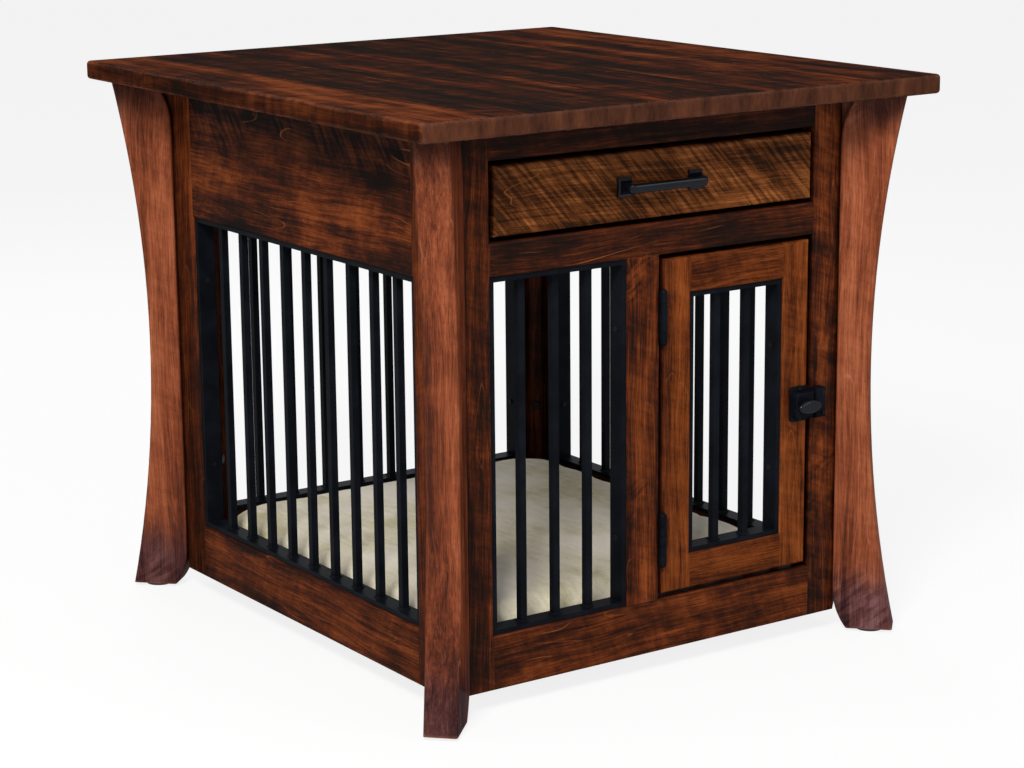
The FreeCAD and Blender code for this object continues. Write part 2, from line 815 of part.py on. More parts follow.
# Door stop: an upright behind the latch side and a header behind the top gap.
stop_x0 = front_half - stop_over
stop_z1 = z_front_top - stop_over
upright = box(stop_x0, stop_x0 + stop_w, -in_y, -in_y + stop_thick, z_front_low + stop_end_gap, stop_z1)
header = box(mull_r, stop_x0 + stop_w, -in_y, -in_y + stop_thick, stop_z1, stop_z1 + stop_w)
stop_relief = box(mull_r - 1, front_half, -in_y - 1, -in_y + stop_play, z_front_low, z_front_top)
parts["door_stop"] = Part.makeCompound([upright.cut(stop_relief), header.cut(stop_relief)])


# ---------------------------------------------------------------- turn latch
bolt_y0 = door_y - latch_plate_t - latch_play - latch_bolt_d
bolt_y1 = bolt_y0 + latch_bolt_d
bolt_nose = latch_x1 - latch_nose_in
bolt_x0 = bolt_nose - latch_bolt_len


def round_corners(s, x):
    """Rounds the two upright corners of a block at x, in the plane of the door."""
    edges = [e for e in s.Edges if near(e.BoundBox.XMin, x) and near(e.BoundBox.XMax, x) and e.BoundBox.ZLength < 0.01]
    return s.makeFillet(latch_corner_r, edges)


def latch_housing():
    plate = box(latch_x0 - latch_nose_in, latch_x1 - latch_nose_in, door_y - latch_plate_t, door_y,
                latch_z - latch_plate_h / 2.0, latch_z + latch_plate_h / 2.0)
    plate = round_corners(plate, latch_x0 - latch_nose_in)
    body = box(latch_x0, latch_x1, latch_top_y, door_y - latch_plate_t,
               latch_z - latch_box_h / 2.0, latch_z + latch_box_h / 2.0)
    body = round_corners(body, latch_x0)
    rim = [e for e in body.Edges if near(e.BoundBox.YMin, latch_top_y) and near(e.BoundBox.YMax, latch_top_y)]
    body = body.makeFillet(latch_edge_r, rim)
    h = latch_bolt_h / 2.0 + latch_play
    channel = box(bolt_x0 - latch_play, latch_x1 + 1, bolt_y0 - latch_play, door_y - latch_plate_t,
                  latch_z - h, latch_z + h)
    bore = rod(spindle_r + spindle_play, latch_box_d, (latch_xm, latch_top_y - 1, latch_z), (0, 1, 0))
    bore = bore.common(box(latch_x0, latch_x1, latch_top_y - 1, bolt_y0, latch_z - latch_box_h, latch_z + latch_box_h))
    return less(joined([plate, body]), [channel, bore] + latch_screws)


def latch_knob():
    y_face = latch_top_y - knob_play
    pieces = [
        rod(spindle_r, bolt_y0 - latch_play - latch_top_y, (latch_xm, latch_top_y, latch_z), (0, 1, 0)),
        rod(spindle_r, knob_play + 0.1, (latch_xm, latch_top_y - knob_play - 0.05, latch_z), (0, 1, 0)),
        rod(knob_neck_r, knob_neck_h, (latch_xm, y_face - knob_neck_h, latch_z), (0, 1, 0)),
    ]
    y_oval = y_face - knob_neck_h
    oval = Part.Ellipse(V(0, 0, 0), knob_w / 2.0, knob_h / 2.0).toShape()
    s = Part.Face(Part.Wire([oval])).extrude(V(0, 0, knob_t))
    s = s.makeFillet(knob_edge_r, [e for e in s.Edges if e.BoundBox.XLength > knob_w * 0.9])
    s.rotate(V(0, 0, 0), V(1, 0, 0), 90)
    s.translate(V(latch_xm, y_oval, latch_z))
    pieces.append(s)
    return joined(pieces)


def latch_strike():
    z0 = latch_z - strike_h / 2.0
    z1 = latch_z + strike_h / 2.0
    body = box(strike_x0, strike_x1, latch_top_y, door_y, z0, z1)
    rim = [e for e in body.Edges if near(e.BoundBox.YMin, latch_top_y) and near(e.BoundBox.YMax, latch_top_y)]
    body = body.makeFillet(latch_edge_r, rim)
    h = latch_bolt_h / 2.0 + latch_play
    reach = max(strike_foot_x, bolt_nose + latch_travel + latch_play)
    pocket = box(strike_x0 - 1, reach, bolt_y0 - latch_play, bolt_y1 + latch_play, latch_z - h, latch_z + h)
    under = box(strike_x0 - 1, strike_foot_x, door_y - strike_wall + 0.5, door_y + 1, z0 - 1, z1 + 1)
    return less(body, [pocket, under])


strike_screw_x = (strike_foot_x + strike_x1) / 2.0
strike_screw_z = (strike_h + latch_bolt_h) / 4.0
strike_screws = []
for d in (-1, 1):
    z = latch_z + d * strike_screw_z
    head = rod(latch_screw_head_r, latch_screw_r, (strike_screw_x, latch_top_y, z), (0, -1, 0))
    shank = rod(latch_screw_r, latch_box_d + latch_screw_len, (strike_screw_x, latch_top_y, z), (0, 1, 0))
    strike_screws.append(joined([head, shank]))

parts["latch_housing"] = latch_housing()
parts["latch_knob"] = latch_knob()
parts["latch_bolt"] = box(bolt_x0, bolt_nose, bolt_y0, bolt_y1,
                          latch_z - latch_bolt_h / 2.0, latch_z + latch_bolt_h / 2.0)
parts["latch_strike"] = less(latch_strike(), strike_screws)
parts["front_stile_right"] = less(parts["front_stile_right"], strike_screws)
parts["case_screws"] = Part.makeCompound(case_screws + case_hinge_screws + strike_screws)

# ---------------------------------------------------------------- write
for name in sorted(parts):
    shape = parts[name]
    if not shape.isValid():
        print("not valid:", name)
    shape.exportStep(os.path.join("parts", name + ".step"))
print(len(parts), "pieces written")
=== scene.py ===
import bpy, math
from mathutils import Vector, Matrix, noise

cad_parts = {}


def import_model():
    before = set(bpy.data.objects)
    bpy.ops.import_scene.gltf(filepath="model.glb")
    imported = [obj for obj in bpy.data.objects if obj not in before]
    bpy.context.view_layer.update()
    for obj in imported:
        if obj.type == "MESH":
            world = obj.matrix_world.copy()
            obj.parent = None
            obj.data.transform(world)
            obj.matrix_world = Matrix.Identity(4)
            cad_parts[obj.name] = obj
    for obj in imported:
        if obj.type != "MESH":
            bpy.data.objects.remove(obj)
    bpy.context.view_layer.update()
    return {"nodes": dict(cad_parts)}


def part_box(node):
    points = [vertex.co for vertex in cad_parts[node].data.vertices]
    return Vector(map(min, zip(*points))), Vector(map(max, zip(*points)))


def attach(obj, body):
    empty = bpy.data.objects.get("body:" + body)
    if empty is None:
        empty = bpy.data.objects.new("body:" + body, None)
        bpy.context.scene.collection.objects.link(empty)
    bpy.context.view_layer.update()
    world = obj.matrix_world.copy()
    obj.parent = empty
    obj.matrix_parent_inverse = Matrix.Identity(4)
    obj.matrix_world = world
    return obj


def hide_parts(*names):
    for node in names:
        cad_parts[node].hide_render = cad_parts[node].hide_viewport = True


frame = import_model()
scene = bpy.context.scene
NODES = frame["nodes"]


# ------------------------------------------------------------ camera
YAW, PITCH, ROLL = 0.599357, 0.227491, -0.009351     # radians: right of +Y, downward, about its own axis
CAMERA_PLACE = (-1.98815, -2.93720, 1.14136)
LENS, SENSOR = 91.758, 36.0                          # millimetres


def make_camera():
    flat = math.cos(PITCH)
    forward = Vector((math.sin(YAW) * flat, math.cos(YAW) * flat, -math.sin(PITCH)))
    level = Vector((math.cos(YAW), -math.sin(YAW), 0.0))
    above = level.cross(forward)
    right = math.cos(ROLL) * level + math.sin(ROLL) * above
    up = -math.sin(ROLL) * level + math.cos(ROLL) * above
    data = bpy.data.cameras.new("camera")
    data.sensor_width = SENSOR
    data.sensor_fit = "HORIZONTAL"
    data.lens = LENS
    data.clip_start, data.clip_end = 0.05, 60.0
    cam = bpy.data.objects.new("camera", data)
    m = Matrix((right, up, -forward)).transposed().to_4x4()
    m.translation = Vector(CAMERA_PLACE)
    cam.matrix_world = m
    scene.collection.objects.link(cam)
    scene.camera = cam


make_camera()


# ------------------------------------------------------------ node helpers
class Net:
    """Short ways to build a node tree."""

    def __init__(self, tree):
        self.t = tree

    def new(self, kind, **props):
        n = self.t.nodes.new(kind)
        for k, v in props.items():
            setattr(n, k, v)
        return n

    def put(self, sock, value):
        if isinstance(value, bpy.types.NodeSocket):
            self.t.links.new(value, sock)
        elif value is not None:
            sock.default_value = value

    def math(self, op, a, b=None, c=None, clamp=False):
        n = self.new("ShaderNodeMath", operation=op, use_clamp=clamp)
        for i, v in enumerate((a, b, c)):
            self.put(n.inputs[i], v)
        return n.outputs[0]

    def swing(self, base, v, amount):
        """The base, moved by the amount times how far v is from one half."""
        return self.math("MULTIPLY_ADD", self.math("SUBTRACT", v, 0.5), amount, base)

    def vec(self, op, a, b=None, out=0):
        n = self.new("ShaderNodeVectorMath", operation=op)
        self.put(n.inputs[0], a)
        self.put(n.inputs[1], b)
        return n.outputs[out]

    def scaled(self, v, k):
        return self.vec("MULTIPLY", v, k)

    def turned(self, v, degrees):
        n = self.new("ShaderNodeVectorRotate", rotation_type="Z_AXIS")
        self.put(n.inputs["Vector"], v)
        n.inputs["Angle"].default_value = math.radians(degrees)
        return n.outputs[0]

    def parts(self, v):
        n = self.new("ShaderNodeSeparateXYZ")
        self.put(n.inputs[0], v)
        return n.outputs

    def noise(self, v, k=(1, 1, 1), detail=2.0, rough=0.5, distort=0.0, out="Fac"):
        n = self.new("ShaderNodeTexNoise")
        self.put(n.inputs["Vector"], self.scaled(v, k))
        n.inputs["Scale"].default_value = 1.0
        n.inputs["Detail"].default_value = detail
        n.inputs["Roughness"].default_value = rough
        n.inputs["Distortion"].default_value = distort
        return n.outputs[out]

    def range(self, v, a, b, c=0.0, d=1.0):
        n = self.new("ShaderNodeMapRange", interpolation_type="SMOOTHSTEP")
        self.put(n.inputs["Value"], v)
        for key, x in (("From Min", a), ("From Max", b), ("To Min", c), ("To Max", d)):
            n.inputs[key].default_value = x
        return n.outputs["Result"]

    def ramp(self, v, stops):
        n = self.new("ShaderNodeValToRGB")
        e = n.color_ramp.elements
        while len(e) < len(stops):
            e.new(0.5)
        for i, (pos, col) in enumerate(stops):
            e[i].position = pos
            e[i].color = (*col, 1.0)
        self.put(n.inputs[0], v)
        return n.outputs[0]

    def mix(self, fac, a, b, mode="MIX"):
        n = self.new("ShaderNodeMix", data_type="RGBA", blend_type=mode)
        self.put(n.inputs[0], fac)
        for sock, v in ((n.inputs[6], a), (n.inputs[7], b)):
            if isinstance(v, tuple) and len(v) == 3:
                v = (*v, 1.0)
            self.put(sock, v)
        return n.outputs[2]

    def bump(self, height, strength, distance, normal=None):
        n = self.new("ShaderNodeBump")
        n.inputs["Strength"].default_value = strength
        n.inputs["Distance"].default_value = distance
        self.put(n.inputs["Height"], height)
        if normal is not None:
            self.put(n.inputs["Normal"], normal)
        return n.outputs[0]

    def shader(self, kind, **values):
        n = self.new(kind)
        for key, v in values.items():
            n.inputs[key].default_value = v
        return n.outputs[0]

    def mix_shaders(self, fac, a, b):
        n = self.new("ShaderNodeMixShader")
        for i, v in enumerate((fac, a, b)):
            self.put(n.inputs[i], v)
        return n.outputs[0]


def empty_net(owner):
    owner.use_nodes = True
    owner.node_tree.nodes.clear()
    return Net(owner.node_tree)


def new_material(name):
    m = bpy.data.materials.new(name)
    net = empty_net(m)
    out = net.new("ShaderNodeOutputMaterial")
    bsdf = net.new("ShaderNodeBsdfPrincipled")
    net.put(out.inputs[0], bsdf.outputs[0])
    return m, net, bsdf


def object_coords(net):
    return net.new("ShaderNodeTexCoord").outputs["Object"]


# ------------------------------------------------------------ wood
# The figure of one board is laid out in metres: along the grain, across the face and through the board.
# These are the waves per metre of each part of the figure, in those three directions.
WAVES = {
    "drift": (2.6, 7.0, 7.0),                        # slow wander of the grain
    "fine": (22.0, 720.0, 720.0),
    "fibre": (7.0, 230.0, 230.0),
    "broad": (1.5, 24.0, 24.0),                      # dark and light streaks
    "blotch": (8.0, 13.0, 13.0),                     # stain that soaked in unevenly
    "curl": (64.0, 15.0, 15.0),                      # figure that crosses the grain
    "pore": (110.0, 2100.0, 2100.0),
    "growth": (2.0, 13.0, 13.0),
    "growth_gap": (9.0, 22.0, 22.0),
    "mineral": (3.4, 46.0, 46.0),
}
DRIFT_REACH = 0.030                                  # metres
CURL_TURN = -24.0                                    # degrees
FINE_TONE = 0.62                                     # how strongly the fibres and the fine grain show
PORE_TONE = -0.12
GROWTH_LINES = 12.0                                  # contours in the range of the growth field
GROWTH_WIDTH = 0.034                                 # share of the way from one contour to the next


def grain_group():
    g = bpy.data.node_groups.new("board_figure", "ShaderNodeTree")
    itf = g.interface
    itf.new_socket("Grain", in_out="INPUT", socket_type="NodeSocketVector")
    for name in ("Streak", "Curl", "Blotch"):
        itf.new_socket(name, in_out="INPUT", socket_type="NodeSocketFloat")
    for name in ("Tone", "Line", "Mineral", "Fibre", "Relief"):
        itf.new_socket(name, in_out="OUTPUT", socket_type="NodeSocketFloat")
    n = Net(g)
    given = n.new("NodeGroupInput")
    result = n.new("NodeGroupOutput")
    p = given.outputs["Grain"]
    drift = n.noise(p, WAVES["drift"], 2.0, out="Color")
    drift = n.vec("SUBTRACT", drift, (0.5, 0.5, 0.5))
    q = n.vec("ADD", p, n.scaled(drift, (0.0, DRIFT_REACH, DRIFT_REACH)))
    fine = n.noise(q, WAVES["fine"], 3.0, 0.6)
    fibre = n.noise(q, WAVES["fibre"], 3.0, 0.65)
    broad = n.noise(q, WAVES["broad"], 4.0, 0.6)
    blotch = n.noise(p, WAVES["blotch"], 5.0, 0.65)
    curl = n.noise(n.turned(p, CURL_TURN), WAVES["curl"], 4.0, 0.7)
    pores = n.range(n.noise(q, WAVES["pore"], 1.0), 0.58, 0.70)
    tone = n.swing(0.5, broad, given.outputs["Streak"])
    tone = n.swing(tone, fibre, FINE_TONE)
    tone = n.swing(tone, fine, FINE_TONE)
    tone = n.swing(tone, blotch, given.outputs["Blotch"])
    tone = n.swing(tone, curl, given.outputs["Curl"])
    tone = n.math("MULTIPLY_ADD", pores, PORE_TONE, tone)
    # growth lines: short pieces of the contours of a stretched field
    field = n.noise(q, WAVES["growth"], 2.0, 0.45)
    lap = n.math("FRACT", n.math("MULTIPLY", field, GROWTH_LINES))
    off = n.math("ABSOLUTE", n.math("SUBTRACT", lap, 0.5))
    keep = n.range(n.noise(p, WAVES["growth_gap"], 3.0), 0.52, 0.64)
    line = n.math("MULTIPLY", n.range(off, 0.0, GROWTH_WIDTH, 1.0, 0.0), keep)
    mineral = n.range(n.noise(q, WAVES["mineral"], 3.0, 0.6), 0.56, 0.74)
    relief = n.math("MULTIPLY_ADD", fine, 0.5, n.math("MULTIPLY", fibre, 0.5))
    relief = n.math("MULTIPLY_ADD", pores, -0.6, relief)
    figure = {"Tone": tone, "Line": line, "Mineral": mineral, "Fibre": fibre, "Relief": relief}
    for name, value in figure.items():
        n.put(result.inputs[name], value)
    return g


GRAIN = grain_group()

# colours from the darkest stain to the barest wood
TONES = {
    "case": [(0.14, (0.0065, 0.0040, 0.0032)), (0.34, (0.0155, 0.0056, 0.0034)),
             (0.50, (0.046, 0.0108, 0.0042)), (0.66, (0.102, 0.0225, 0.0062)),
             (0.90, (0.215, 0.0520, 0.0130))],
    "door": [(0.14, (0.013, 0.0048, 0.0028)), (0.34, (0.058, 0.0128, 0.0038)),
             (0.50, (0.120, 0.0280, 0.0062)), (0.66, (0.185, 0.0450, 0.0096)),
             (0.90, (0.30, 0.0850, 0.0200))],
    "drawer": [(0.12, (0.012, 0.0058, 0.0026)), (0.34, (0.041, 0.0125, 0.0037)),
               (0.50, (0.083, 0.0245, 0.0068)), (0.66, (0.135, 0.0420, 0.0110)),
               (0.90, (0.29, 0.0980, 0.0260))],
    "leg": [(0.12, (0.045, 0.0130, 0.0080)), (0.34, (0.125, 0.0310, 0.0135)),
            (0.52, (0.215, 0.0560, 0.0230)), (0.70, (0.310, 0.0920, 0.0410)),
            (0.90, (0.43, 0.150, 0.0760))],
    "top": [(0.18, (0.0078, 0.0050, 0.0040)), (0.36, (0.014, 0.0066, 0.0044)),
            (0.50, (0.034, 0.0090, 0.0042)), (0.66, (0.074, 0.0165, 0.0055)),
            (0.90, (0.160, 0.0400, 0.0110))],
    "pale": [(0.16, (0.30, 0.17, 0.085)), (0.40, (0.42, 0.26, 0.14)),
             (0.60, (0.52, 0.34, 0.20)), (0.85, (0.62, 0.43, 0.27))],
}
LINE_COLOUR = {"case": (0.27, 0.080, 0.022), "door": (0.36, 0.115, 0.030), "drawer": (0.36, 0.130, 0.036),
               "leg": (0.52, 0.22, 0.12), "top": (0.17, 0.055, 0.018), "pale": (0.30, 0.16, 0.08)}
# colours of the lightened edges: partly worn wood where the stain is rubbed off, partly a painted highlight
EDGE_WEAR_AND_HIGHLIGHT_COLOUR = {"drawer": (0.34, 0.105, 0.034), "leg": (0.42, 0.160, 0.090), "top": (0.50, 0.290, 0.210)}
END_GRAIN = [(0.30, (0.030, 0.0120, 0.0075)), (0.50, (0.060, 0.0215, 0.0120)),
             (0.72, (0.105, 0.0360, 0.0170))]
JOINT_COLOUR = (0.008, 0.004, 0.003)
JOINT_WIDTH = 0.007                                  # share of a board's width, on each side of the joint
BOARD_TONE = 0.24                                    # how far the tones of neighbouring boards may differ
DUSK_EDGE = 0.13                                     # how far the border of a dark end wanders, in metres
CORNER_SHADE_REACH, EDGE_WEAR_AND_HIGHLIGHT_REACH = 0.022, 0.005              # metres over which painted shade darkens a corner, and over which an edge is lightened by wear and a painted highlight
STROKE_WAVES = 0.9                                   # waves in one stroke of the saw
HALF = math.sqrt(0.5)
# directions along the grain, across the face and through the board
FACES = {
    "front_x": ((1, 0, 0), (0, 0, 1), (0, 1, 0)),
    "front_z": ((0, 0, 1), (1, 0, 0), (0, 1, 0)),
    "side_y": ((0, 1, 0), (0, 0, 1), (1, 0, 0)),
    "side_z": ((0, 0, 1), (0, 1, 0), (1, 0, 0)),
    "flat_x": ((1, 0, 0), (0, 1, 0), (0, 0, 1)),
    "flat_y": ((0, 1, 0), (1, 0, 0), (0, 0, 1)),
    "leg_even": ((0, 0, 1), (HALF, HALF, 0), (HALF, -HALF, 0)),
    "leg_odd": ((0, 0, 1), (HALF, -HALF, 0), (HALF, HALF, 0)),
}


def along_faces(net, p, face):
    comb = net.new("ShaderNodeCombineXYZ")
    for i, direction in enumerate(FACES[face]):
        net.put(comb.inputs[i], net.vec("DOT_PRODUCT", p, direction, "Value"))
    return comb.outputs[0]


def saw_marks(net, g, angle, pitch, length, cover):
    """Straight strokes left by the saw. Angle is from the grain, pitch and length are in metres."""
    waves = (STROKE_WAVES / length, STROKE_WAVES / pitch, 1.0)
    marks = net.noise(net.turned(g, -angle), waves, 3.0, 0.6)
    marks = net.math("SUBTRACT", net.range(marks, 0.36, 0.62), 0.55)
    place = net.range(net.noise(g, (7.0, 9.0, 9.0), 2.0), 0.62 - cover, 0.74 - cover)
    return net.math("MULTIPLY", marks, place)


def sum_of(net, values):
    total = values[0]
    for v in values[1:]:
        total = net.math("ADD", total, v)
    return total


def glued_boards(net, g, across, seed, width, first):
    """Boards side by side, the first of them starting at first.
    Gives the figure moved on for each board, a random tone for each, and the joints between them."""
    place = net.math("DIVIDE", net.math("SUBTRACT", across, first), width)
    white = net.new("ShaderNodeTexWhiteNoise", noise_dimensions="1D")
    net.put(white.inputs["W"], net.math("ADD", net.math("FLOOR", place), seed * 7.0))
    g = net.vec("ADD", g, net.scaled(white.outputs["Color"], (9.0, 5.0, 3.0)))
    part = net.math("FRACT", place)
    edge = net.math("MINIMUM", part, net.math("SUBTRACT", 1.0, part))
    return g, white.outputs["Value"], net.range(edge, 0.0, JOINT_WIDTH, 1.0, 0.0)


def dusk_veils(net, p, dusk):
    """How far each darker end has set in, by height, with an uneven border: darker stain, and under the
    top's overhang also painted shadow.
    """
    level = net.swing(net.parts(p)[2], net.noise(p, (17.0, 17.0, 9.0), 4.0, 0.6), DUSK_EDGE)
    return [net.range(level, start, full) for start, full, _, _ in dusk]


def with_end_grain(net, colour, g, along):
    """Plain end grain wherever the surface faces along the grain."""
    normal = net.new("ShaderNodeNewGeometry").outputs["Normal"]
    facing = net.math("ABSOLUTE", net.vec("DOT_PRODUCT", normal, along, "Value"))
    rings = net.noise(g, (0.0, 34.0, 9.0), 3.0, 0.6)
    rings = net.swing(rings, net.noise(g, (0.0, 300.0, 90.0), 2.0), 0.3)
    return net.mix(net.range(facing, 0.55, 0.80), colour, net.ramp(rings, END_GRAIN))


def with_corner_shade_and_edge_wear_highlight(net, colour, g, tone, edge_wear_and_highlight):
    """Painted shade darkens the corners; the edges are lightened, partly as stain rubbed off and partly as
    a painted highlight.
    """
    # painted shade: the colour is darkened where ambient occlusion finds surfaces close by, in corners and
    # recesses
    corners = net.new("ShaderNodeAmbientOcclusion", samples=5)
    corners.inputs["Distance"].default_value = CORNER_SHADE_REACH
    shade = net.range(corners.outputs["AO"], 0.20, 0.80, 0.30, 1.0)
    colour = net.mix(1.0, colour, shade, "MULTIPLY")
    if not edge_wear_and_highlight:
        return colour
    # the edges are lightened, partly as stain rubbed off and partly as a painted highlight
    edges = net.new("ShaderNodeAmbientOcclusion", samples=5, inside=True)
    edges.inputs["Distance"].default_value = EDGE_WEAR_AND_HIGHLIGHT_REACH
    worn_and_lit_edges = net.range(edges.outputs["AO"], 0.78, 0.50, 0.0, edge_wear_and_highlight)
    patches = net.range(net.noise(g, (14.0, 60.0, 60.0), 2.0), 0.30, 0.62, 0.35, 1.0)
    worn_and_lit_edges = net.math("MULTIPLY", net.math("MULTIPLY", worn_and_lit_edges, patches), shade)
    return net.mix(worn_and_lit_edges, colour, EDGE_WEAR_AND_HIGHLIGHT_COLOUR[tone])


def wood(name, face, tone, seed, curl=0.35, blotch=0.75, line=0.5, mineral=0.4, saw=None, boards=None,
         shift=0.0, streak=1.0, coat=0.06, dusk=(), edge_wear_and_highlight=0.0, end_grain=False):
    """saw: (angle, pitch, length, cover, strength, depth). boards: (width, first edge) of glued boards.
    dusk: (height where it starts, height where it is full, colour, amount) of each darker end, which is
    darker stain and, under the top's overhang, also painted shadow.
    edge_wear_and_highlight: how far the edges are lightened, partly as stain rubbed off and partly as a
    painted highlight. end_grain: the ends show plain end grain."""
    m, net, bsdf = new_material(name)
    p = object_coords(net)
    laid = along_faces(net, p, face)
    g = net.vec("ADD", laid, (seed * 3.71, seed * 1.93, seed * 0.77))
    joint = None
    if boards:
        g, own_tone, joint = glued_boards(net, g, net.parts(laid)[1], seed, *boards)
        shift = net.swing(shift, own_tone, BOARD_TONE)
    figure = net.new("ShaderNodeGroup")
    figure.node_tree = GRAIN
    net.put(figure.inputs["Grain"], g)
    for key, value in (("Streak", streak), ("Curl", curl), ("Blotch", blotch)):
        figure.inputs[key].default_value = value
    t = net.math("ADD", figure.outputs["Tone"], shift)
    t = net.math("MULTIPLY_ADD", figure.outputs["Mineral"], -mineral * 0.5, t)
    relief = figure.outputs["Relief"]
    veils = dusk_veils(net, p, dusk) if dusk else []
    if saw:
        angle, pitch, length, cover, strength, depth = saw
        marks = saw_marks(net, g, angle, pitch, length, cover)
        if veils:
            marks = net.math("MULTIPLY", marks, net.math("ADD", sum_of(net, veils), 0.06))
        t = net.math("MULTIPLY_ADD", marks, strength, t)
        relief = net.math("MULTIPLY_ADD", marks, depth, relief)
    colour = net.ramp(t, TONES[tone])
    for veil, (_, _, shade, amount) in zip(veils, dusk):
        darker = net.mix(1.0, colour, shade, "MULTIPLY")
        colour = net.mix(net.math("MULTIPLY", veil, amount), colour, darker)
    colour = net.mix(net.math("MULTIPLY", figure.outputs["Line"], line), colour, LINE_COLOUR[tone])
    if joint is not None:
        colour = net.mix(net.math("MULTIPLY", joint, 0.5), colour, JOINT_COLOUR)
    if end_grain:
        colour = with_end_grain(net, colour, g, FACES[face][0])
    net.put(bsdf.inputs["Base Color"], with_corner_shade_and_edge_wear_highlight(net, colour, g, tone, edge_wear_and_highlight))
    net.put(bsdf.inputs["Roughness"], net.math("MULTIPLY_ADD", figure.outputs["Fibre"], 0.16, 0.42))
    net.put(bsdf.inputs["Normal"], net.bump(relief, 0.35, 0.0006))
    bsdf.inputs["Specular IOR Level"].default_value = 0.0
    bsdf.inputs["Coat Weight"].default_value = coat
    bsdf.inputs["Coat Roughness"].default_value = 0.20
    return m


# ------------------------------------------------------------ metal, plastic, cloth
def black_metal(name, base=(0.0030, 0.0038, 0.0056), rough=0.42, grain=900.0, coat=0.03, coat_rough=0.25):
    m, net, bsdf = new_material(name)
    p = object_coords(net)
    fine = net.noise(p, (grain, grain, grain), 2.0, 0.6)
    broad = net.noise(p, (22.0, 22.0, 22.0), 3.0, 0.6)
    paler = tuple(c * 1.9 for c in base)
    net.put(bsdf.inputs["Base Color"], net.mix(net.range(broad, 0.35, 0.7), base, paler))
    net.put(bsdf.inputs["Roughness"], net.math("MULTIPLY_ADD", broad, 0.16, rough - 0.08))
    net.put(bsdf.inputs["Normal"], net.bump(fine, 0.25, 0.00012))
    bsdf.inputs["Specular IOR Level"].default_value = 0.01
    bsdf.inputs["Coat Weight"].default_value = coat
    bsdf.inputs["Coat Roughness"].default_value = coat_rough
    return m


def steel(name):
    m, net, bsdf = new_material(name)
    p = object_coords(net)
    brushed = net.noise(p, (40.0, 1500.0, 1500.0), 2.0, 0.6)
    broad = net.noise(p, (30.0, 30.0, 30.0), 3.0, 0.6)
    grey = net.mix(net.range(broad, 0.3, 0.7), (0.42, 0.43, 0.44), (0.60, 0.61, 0.61))
    net.put(bsdf.inputs["Base Color"], grey)
    bsdf.inputs["Metallic"].default_value = 1.0
    net.put(bsdf.inputs["Roughness"], net.math("MULTIPLY_ADD", brushed, 0.2, 0.25))
    net.put(bsdf.inputs["Normal"], net.bump(brushed, 0.15, 0.0001))
    return m


def glide_plastic():
    m, net, bsdf = new_material("glide_plastic")
    p = object_coords(net)
    fine = net.noise(p, (700.0, 700.0, 700.0), 2.0, 0.5)
    net.put(bsdf.inputs["Base Color"], net.mix(fine, (0.012, 0.010, 0.009), (0.022, 0.019, 0.017)))
    bsdf.inputs["Roughness"].default_value = 0.55
    net.put(bsdf.inputs["Normal"], net.bump(fine, 0.2, 0.0002))
    return m


def cloth():
    m, net, bsdf = new_material("cushion_cloth")
    p = object_coords(net)
    olive_shade_noise = net.noise(p, (7.0, 7.0, 7.0), 3.0, 0.55)
    nap = net.noise(p, (90.0, 26.0, 60.0), 4.0, 0.65)
    fine = net.noise(p, (850.0, 850.0, 850.0), 2.0, 0.6)
    pile = net.noise(p, (420.0, 420.0, 420.0), 3.0, 0.7)
    # painted shade: the big noise turns patches of the cover darker and olive, standing in for shaded
    # areas; the paler stops are the cloth's own greige
    t = net.swing(0.52, olive_shade_noise, 1.5)
    t = net.swing(t, nap, 0.7)
    t = net.swing(t, pile, 0.5)
    col = net.ramp(t, [(0.2, (0.56, 0.50, 0.29)), (0.5, (0.78, 0.71, 0.55)), (0.8, (0.86, 0.80, 0.69))])
    net.put(bsdf.inputs["Base Color"], col)
    bsdf.inputs["Roughness"].default_value = 0.92
    bsdf.inputs["Specular IOR Level"].default_value = 0.15
    bsdf.inputs["Sheen Weight"].default_value = 0.25
    bsdf.inputs["Sheen Roughness"].default_value = 0.45
    weave = net.math("MULTIPLY_ADD", pile, 0.6, net.math("MULTIPLY", fine, 0.4))
    net.put(bsdf.inputs["Normal"], net.bump(nap, 0.25, 0.002, net.bump(weave, 0.5, 0.0008)))
    return m


